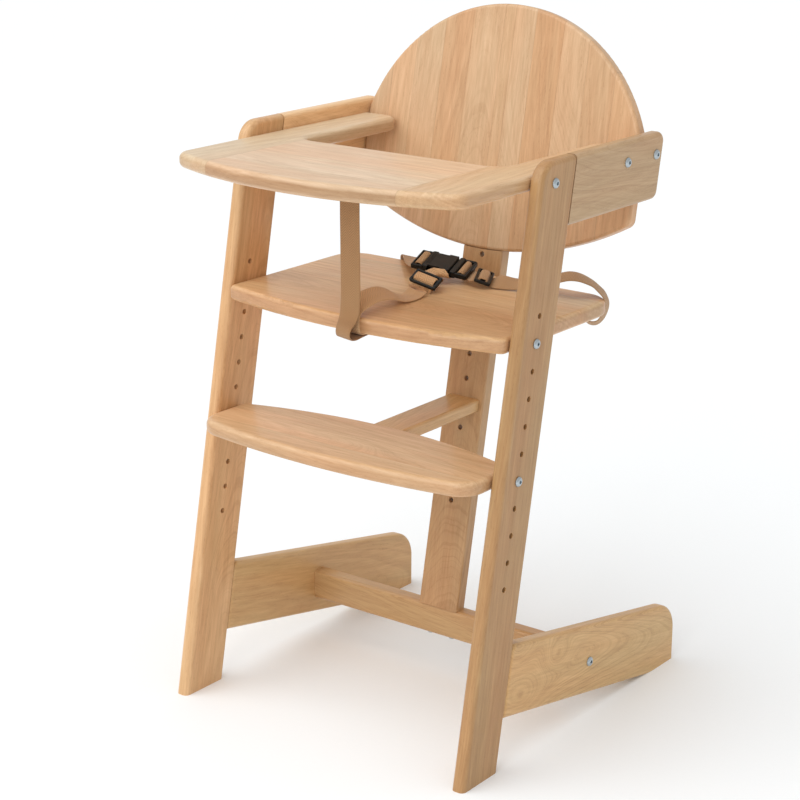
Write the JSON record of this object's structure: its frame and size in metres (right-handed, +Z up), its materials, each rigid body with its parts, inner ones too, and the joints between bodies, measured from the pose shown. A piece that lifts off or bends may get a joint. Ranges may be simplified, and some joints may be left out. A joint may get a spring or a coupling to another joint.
{
  "type": "baby high chair",
  "caption": "Wooden baby high chair with tilted legs, a fixed tray, a round backrest, a height-adjustable seat and footrest, and a webbing harness.",
  "frame": {"origin": "on the floor, under the middle of the chair's width and depth", "axes": "+Z up, -Y towards the front (the tray), +X towards the seated child's left"},
  "size_m": [0.4568, 0.523, 0.8527],
  "materials": {
    "frame_wood": "satin",
    "board_wood": "satin",
    "dowel_wood": "satin",
    "steel": "satin",
    "brass": "satin",
    "webbing": null,
    "black_plastic": "satin"
  },
  "bodies": {
    "frame": {"leg_left": "frame_wood", "leg_right": "frame_wood", "runner_left": "frame_wood", "runner_right": "frame_wood", "rail_left": "frame_wood", "rail_right": "frame_wood", "stretcher": "frame_wood", "rear_post": "frame_wood", "backrest": "board_wood", "tray_panel": "board_wood", "tray_arm_left": "board_wood", "tray_arm_right": "board_wood", "frame_dowels": "dowel_wood", "backrest_dowels": "dowel_wood", "tray_dowels": "dowel_wood", "tray_bolts": "steel", "tray_inserts": "brass", "backrest_bolts": "steel", "backrest_inserts": "brass", "stretcher_bolts": "steel", "stretcher_inserts": "brass", "post_screws": "steel", "tray_strap_screw": "steel", "tray_strap": "webbing"},
    "seat": {"seat": "board_wood", "seat_bolts": "steel", "seat_inserts": "brass", "strap_screws": "steel", "waist_strap_left": "webbing", "waist_strap_right": "webbing", "buckle_female": "black_plastic", "crotch_strap": "webbing", "crotch_adjuster": "black_plastic"},
    "buckle_male": {"buckle_male": "black_plastic", "waist_adjuster": "black_plastic"},
    "footrest": {"footrest": "board_wood", "footrest_strut": "frame_wood", "strut_dowels": "dowel_wood", "footrest_bolts": "steel", "footrest_inserts": "brass"}
  },
  "joints": [
    {"name": "seat_height", "type": "slide", "parent": "frame", "child": "seat", "axis": [0, 0.1908, 0.9816], "range_m": [-0.064, 0.032], "deforming": ["tray_strap"]},
    {"name": "footrest_height", "type": "slide", "parent": "frame", "child": "footrest", "axis": [0, 0.1908, 0.9816], "range_m": [-0.128, 0.064]},
    {"name": "buckle_release", "type": "slide", "parent": "seat", "child": "buckle_male", "axis": [0.9708, 0.2117, -0.1129], "range_m": [0, 0.027], "deforming": ["waist_strap_left"]}
  ]
}
